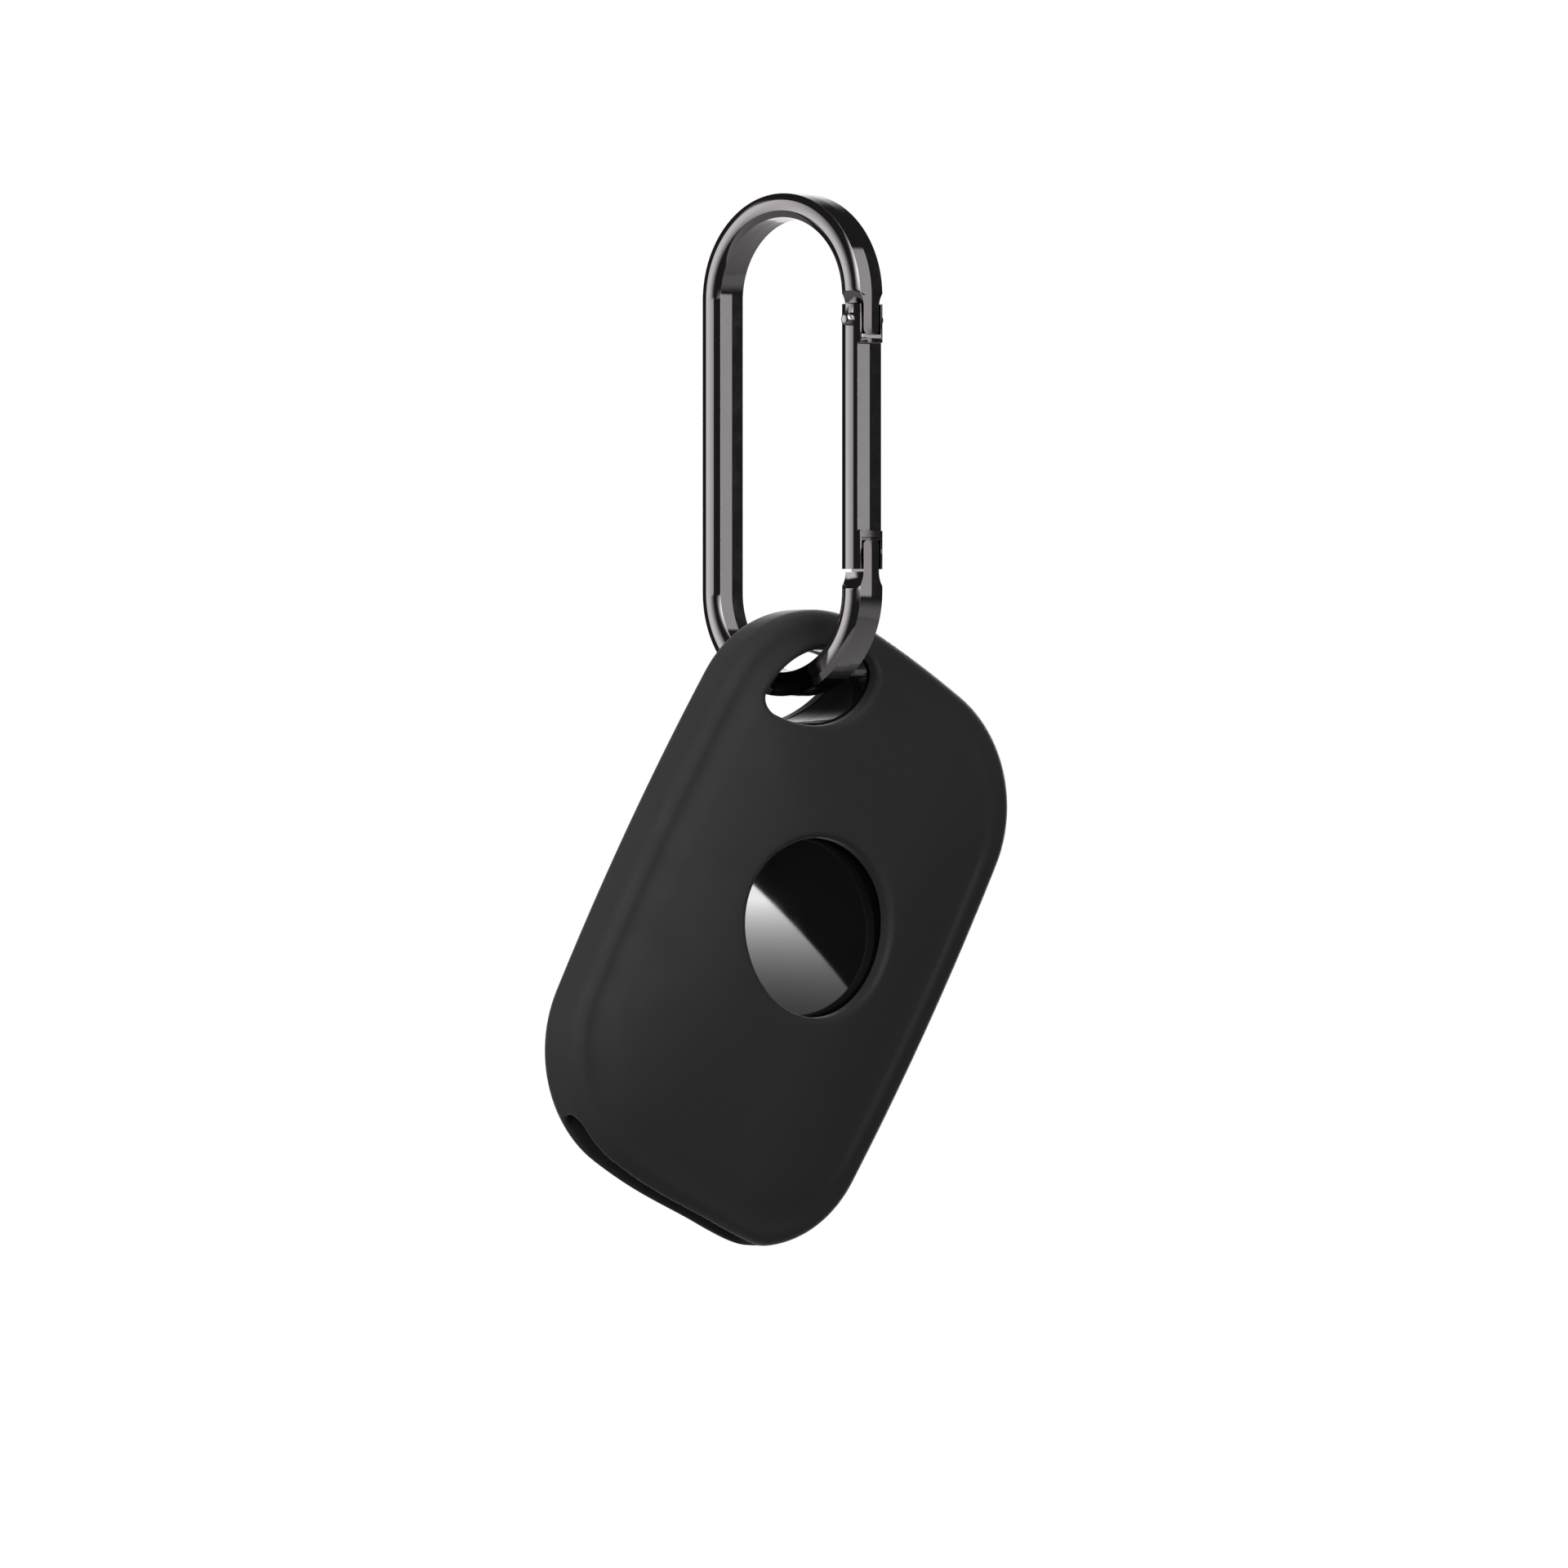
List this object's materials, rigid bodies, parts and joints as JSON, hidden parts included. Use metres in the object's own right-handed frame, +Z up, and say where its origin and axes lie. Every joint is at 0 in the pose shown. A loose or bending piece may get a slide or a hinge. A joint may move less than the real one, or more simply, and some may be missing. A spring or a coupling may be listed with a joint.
{
  "type": "silicone keyring cover",
  "caption": "Soft cover with a round front window, a corner hanging hole and a slot mouth, holding a finder fob, hung on an oval snap ring with a sprung gate.",
  "frame": {"origin": "the inside top of the ring's upper arch, where it hangs", "axes": "+Z up, -Y out of the cover's front, X across it"},
  "size_m": [0.0551, 0.021, 0.1044],
  "materials": {
    "gunmetal": "polished dark plating",
    "pin_steel": "smooth dark steel",
    "black_silicone": "matte, very fine grain",
    "gloss_black_plastic": "polished",
    "matt_black_plastic": "moulded",
    "soft_grey_rubber": "matte",
    "board_green": "solder resist",
    "tin_plate": "tin plated",
    "cell_can": "smooth plated can",
    "light_resin": "clear resin",
    "copper": "stamped sheet",
    "brass": "thin disc"
  },
  "bodies": {
    "carabiner": {"carabiner_frame": "gunmetal", "gate_hinge_pin": "pin_steel"},
    "gate": {"gate_bar": "gunmetal", "gate_spring": "pin_steel"},
    "plunger": {"gate_plunger": "pin_steel"},
    "cover": {"silicone_cover": "black_silicone", "front_shell": "gloss_black_plastic", "rear_shell": "gloss_black_plastic", "shell_seal": "soft_grey_rubber", "button_seal": "soft_grey_rubber", "circuit_board": "board_green", "radio_module": "tin_plate", "crystal": "tin_plate", "indicator_led": "light_resin", "antenna": "copper", "switch_base": "matt_black_plastic", "coin_cell": "cell_can", "cell_cradle": "matt_black_plastic", "cell_contact_front": "tin_plate", "cell_contact_rear": "tin_plate", "sounder_case": "matt_black_plastic", "sounder_disc": "brass", "board_screw_1": "pin_steel", "board_screw_2": "pin_steel", "board_screw_3": "pin_steel"},
    "button": {"finder_button": "gloss_black_plastic"},
    "stem": {"switch_stem": "soft_grey_rubber"}
  },
  "joints": [
    {"name": "gate_hinge", "type": "hinge", "parent": "carabiner", "child": "gate", "pos_m": [0.00183, -0.009, -0.01034], "axis": [0.9799, 0.1994, 0], "range_deg": [0, 26], "stiffness_Nm_per_rad": 0.03, "springref_deg": -14.32},
    {"name": "gate_plunger_slide", "type": "slide", "parent": "gate", "child": "plunger", "axis": [0, 0, 1], "range_m": [-0.0004, 0], "deforming": ["gate_spring"]},
    {"name": "cover_swing", "type": "hinge", "parent": "carabiner", "child": "cover", "pos_m": [-0.0003, 0, -0.04634], "axis": [0, 1, 0], "range_deg": [-60, 44]},
    {"name": "button_press", "type": "slide", "parent": "cover", "child": "button", "axis": [0, 1, 0], "range_m": [0, 0.00025], "stiffness_N_per_m": 3000, "springref_m": -0.0002},
    {"name": "switch_stem_slide", "type": "slide", "parent": "cover", "child": "stem", "axis": [0, 1, 0], "range_m": [0, 0.00025]}
  ],
  "couplings": [
    {"joint": "gate_plunger_slide", "follows": "gate_hinge", "m_per_rad": -0.00082},
    {"joint": "switch_stem_slide", "follows": "button_press", "ratio": 1}
  ]
}
